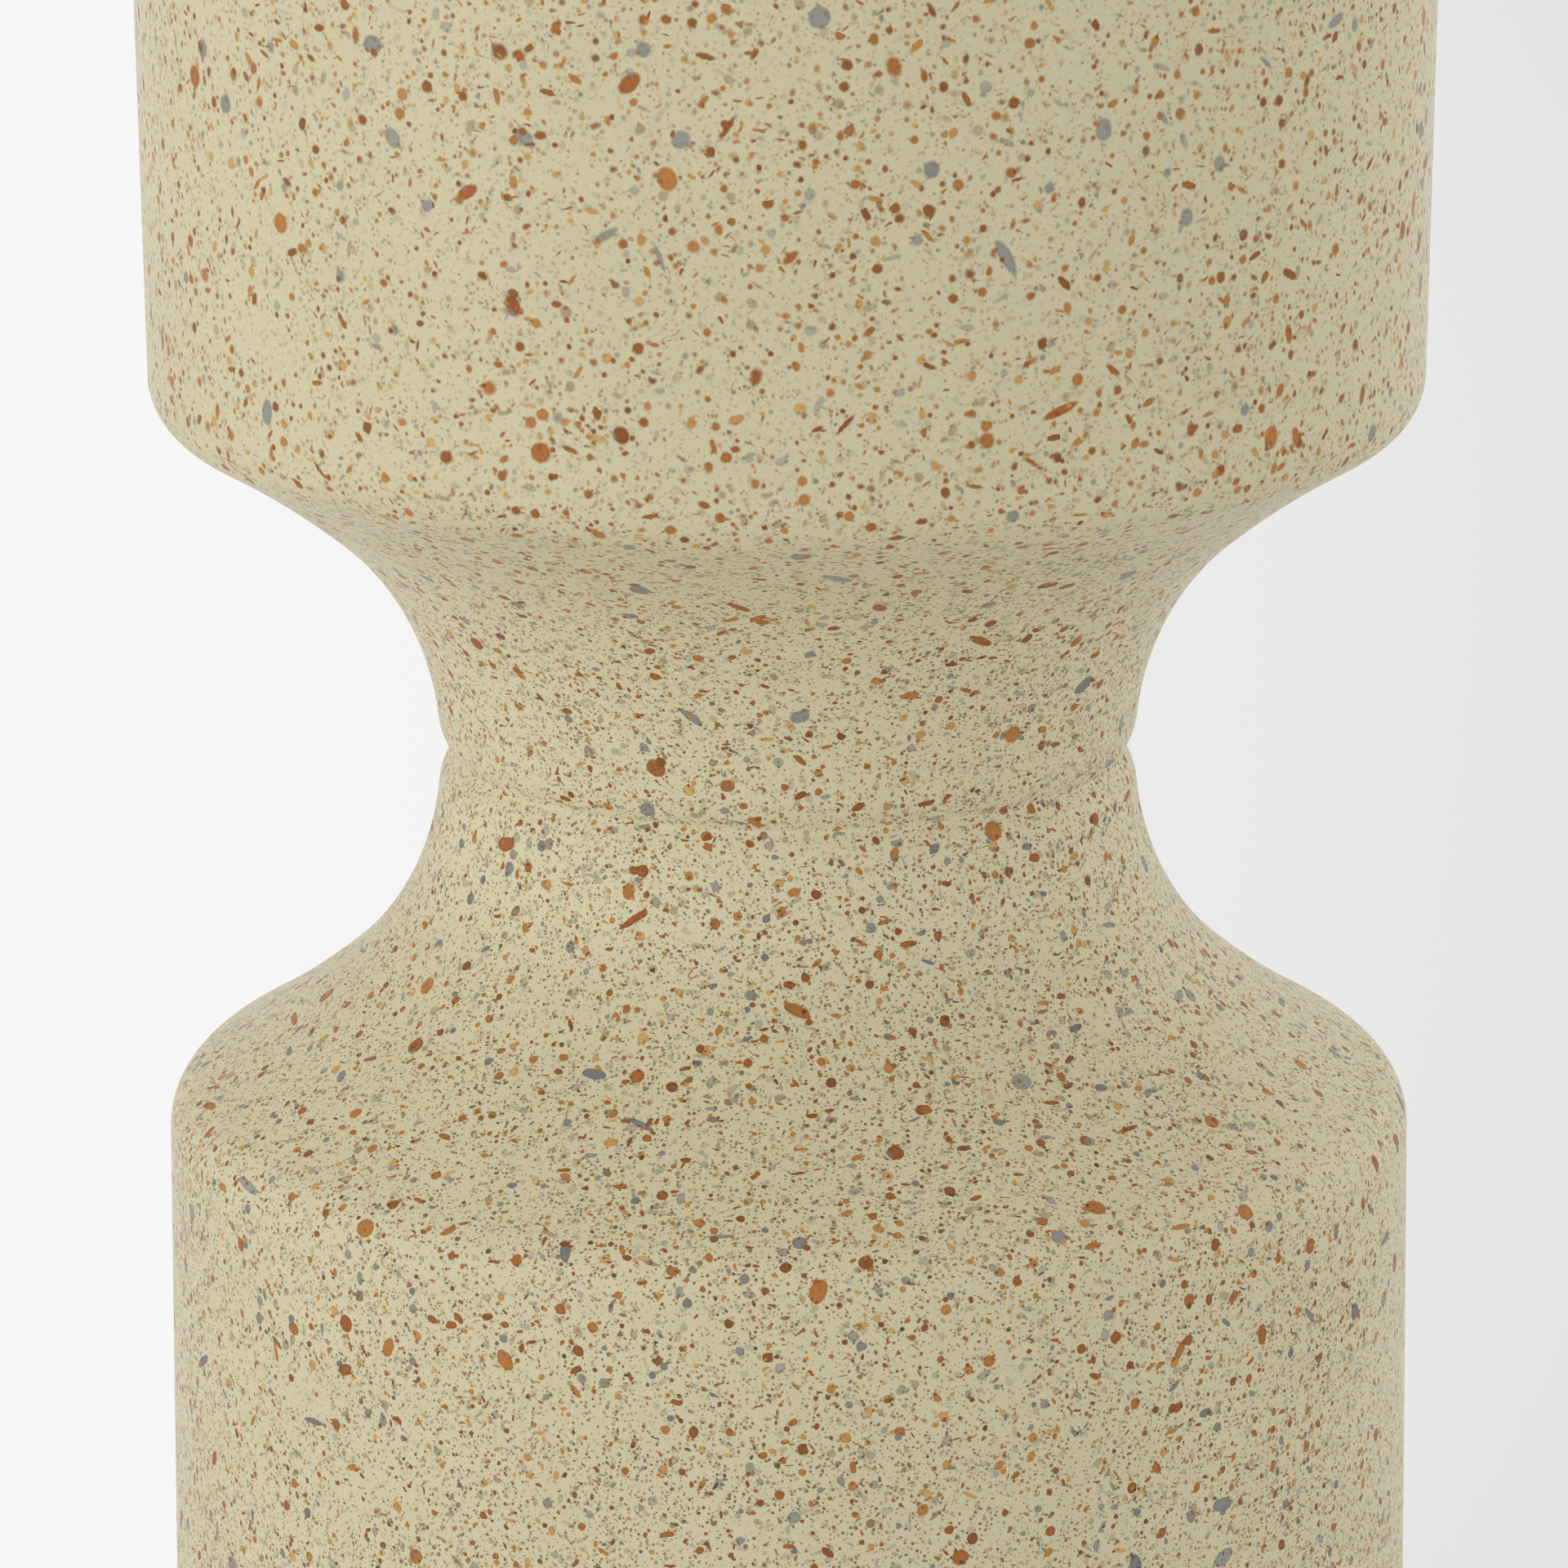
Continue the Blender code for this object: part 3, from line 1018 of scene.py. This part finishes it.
@dataclass(frozen=True)
class Studio:
    """A plain pale floor under soft light, brighter from the left, as in the photograph.

    The floor's fan is painted light that pales the floor from right to left: its half width for each metre of distance
    from the camera, and the depths where it begins and where it is fully open.
    """

    sky_strength: float = 0.9
    sky_seen: float = 0.88
    floor_colour: str = "#EDEDED"
    # Painted light: the floor's lit left and dim right
    floor_painted_lit: str = "#FEFEFE"
    floor_painted_dim: str = "#E3E3E3"
    floor_half: float = 12.0
    floor_glow: float = 0.75
    floor_roughness: float = 0.9
    floor_even: float = 0.5
    fan_half: float = 0.106
    fan_begins: tuple[float, float] = (-0.5, 0.1)
    lamps: tuple[SoftLamp, ...] = (
        SoftLamp("window_left", (-1.256, -0.586, 0.358), (0.9, 0.6), 4.14),
        SoftLamp("window_behind", (1.036, 0.869, 0.525), (0.9, 0.6), 2.6),
    )

    def light(self, aim: Vector) -> None:
        """Hang the lamps and light the room.

        Args:
            aim: the point that the lamps face.
        """
        for lamp in self.lamps:
            lamp.hang(aim)
        world = bpy.data.worlds.new("pale_room")
        bpy.context.scene.world = world
        world.use_nodes = True
        tree = world.node_tree
        seen = self.seen(tree)
        strength = add_node(tree, "MapRange", {"Value": seen, "To Min": self.sky_strength, "To Max": self.sky_seen})
        tree.links.new(strength.outputs["Result"], tree.nodes["Background"].inputs["Strength"])
        tree.nodes["Background"].inputs["Color"].default_value = (1, 1, 1, 1)

    @staticmethod
    def seen(tree: bpy.types.NodeTree) -> bpy.types.NodeSocket:
        """A socket that is 1 for what the camera sees, straight or in a reflection, and 0 for light that falls."""
        path = add_node(tree, "LightPath", {}).outputs
        either = add_node(tree, "Math", {0: path["Is Camera Ray"], 1: path["Is Glossy Ray"]}, operation="MAXIMUM")
        return add_node(
            tree, "Math", {0: either.outputs[0], 1: path["Is Transmission Ray"]}, operation="MAXIMUM"
        ).outputs[0]

    def lay_floor(self, camera: bpy.types.Object) -> bpy.types.Object:
        """Lay the floor, with painted light that pales it from right to left in the photograph's view.

        Args:
            camera: the photograph's camera, whose foot the floor's shades fan out from.

        Returns:
            The floor.
        """
        bpy.ops.object.select_all(action="DESELECT")
        bpy.ops.mesh.primitive_plane_add(size=2 * self.floor_half)
        floor = bpy.context.active_object
        floor.name = "studio_floor"
        material, tree, surface = new_material("pale_studio_paper")
        place = add_node(tree, "TexCoord", {}).outputs["Object"]
        axes = add_node(tree, "SeparateXYZ", {"Vector": place}).outputs
        behind = -camera.location.y + camera.location.z * math.tan(PhotoCamera.pitch)
        away = add_node(tree, "Math", {0: axes["Y"], 1: behind}, operation="ADD")
        across = add_node(tree, "Math", {0: axes["X"], 1: away.outputs[0]}, operation="DIVIDE")
        share = add_node(
            tree, "MapRange",
            {"Value": across.outputs[0], "From Min": -self.fan_half, "From Max": self.fan_half},
        )

        # The painted light's fan opens behind the vase, where the photograph looks, and the rest of the paper is even
        even_to, fan_from = self.fan_begins
        opening = add_node(
            tree, "MapRange", {"Value": axes["Y"], "From Min": even_to, "From Max": fan_from},
            interpolation_type="SMOOTHSTEP",
        )
        painted_light_share = add_node(
            tree, "MapRange",
            {"Value": opening.outputs["Result"], "To Min": self.floor_even, "To Max": share.outputs["Result"]},
        )
        # Painted light: the floor's colour runs from lit on the left to dim on the right
        shade = add_node(
            tree, "Mix",
            {"Factor": painted_light_share.outputs["Result"], 6: linear(self.floor_painted_lit), 7: linear(self.floor_painted_dim)},
            data_type="RGBA",
        )
        glow = add_node(tree, "Emission", {"Color": shade.outputs[2], "Strength": 1.0})
        surface.inputs["Base Color"].default_value = linear(self.floor_colour)
        surface.inputs["Roughness"].default_value = self.floor_roughness
        surface.inputs["Specular IOR Level"].default_value = 0.0
        part = add_node(tree, "Math", {0: self.seen(tree), 1: self.floor_glow}, operation="MULTIPLY")
        both = add_node(tree, "MixShader", {0: part.outputs[0], 1: surface.outputs[0], 2: glow.outputs[0]})
        tree.links.new(both.outputs[0], tree.nodes["Material Output"].inputs["Surface"])
        floor.data.materials.append(material)
        return floor


def main() -> None:
    """Load the frame, build the vase on it and set the photograph's view."""
    logging.basicConfig(level=logging.INFO, format="%(name)s: %(message)s")
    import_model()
    lower_low, lower_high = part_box("lower_section")
    upper_low, upper_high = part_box("upper_section")
    coil_low, coil_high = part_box("inner_coil")
    crease = (lower_high.z + upper_low.z) / 2
    joint = (upper_low.z - lower_high.z) / 2

    waist = Waist()
    glaze = MatteGlaze("spattered_buff_matte_glaze", Thrown.FULL).make()
    liner = MatteGlaze("buff_liner_glaze", Thrown.SPARSE, roughness=0.5).make()
    clay = BareStoneware("bare_fired_stoneware").make()
    finishes = {Finish.OUTSIDE: glaze, Finish.INSIDE: liner, Finish.FOOT: clay}
    assemblies = (
        LowerSection("lower_section", waist, LOWER_BODY_RADIUS, crease, joint, lower_low.z, finishes),
        UpperSection("upper_section", waist, UPPER_BODY_RADIUS, crease, joint, upper_high.z, finishes),
        SlipJoint(waist, crease, joint, glaze),
        InnerCoil(coil_low, coil_high, COIL_DEPTH, clay),
    )
    for assembly in assemblies:
        piece = assembly.build()
        LOG.info("%s: %d faces", piece.name, len(piece.data.polygons))

    camera = PhotoCamera().place(crease)
    studio = Studio()
    studio.light(Vector((0, 0, crease)))
    studio.lay_floor(camera)
    bpy.context.scene.view_settings.view_transform = "Standard"

    bpy.context.view_layer.update()


if __name__ == "__main__":
    main()
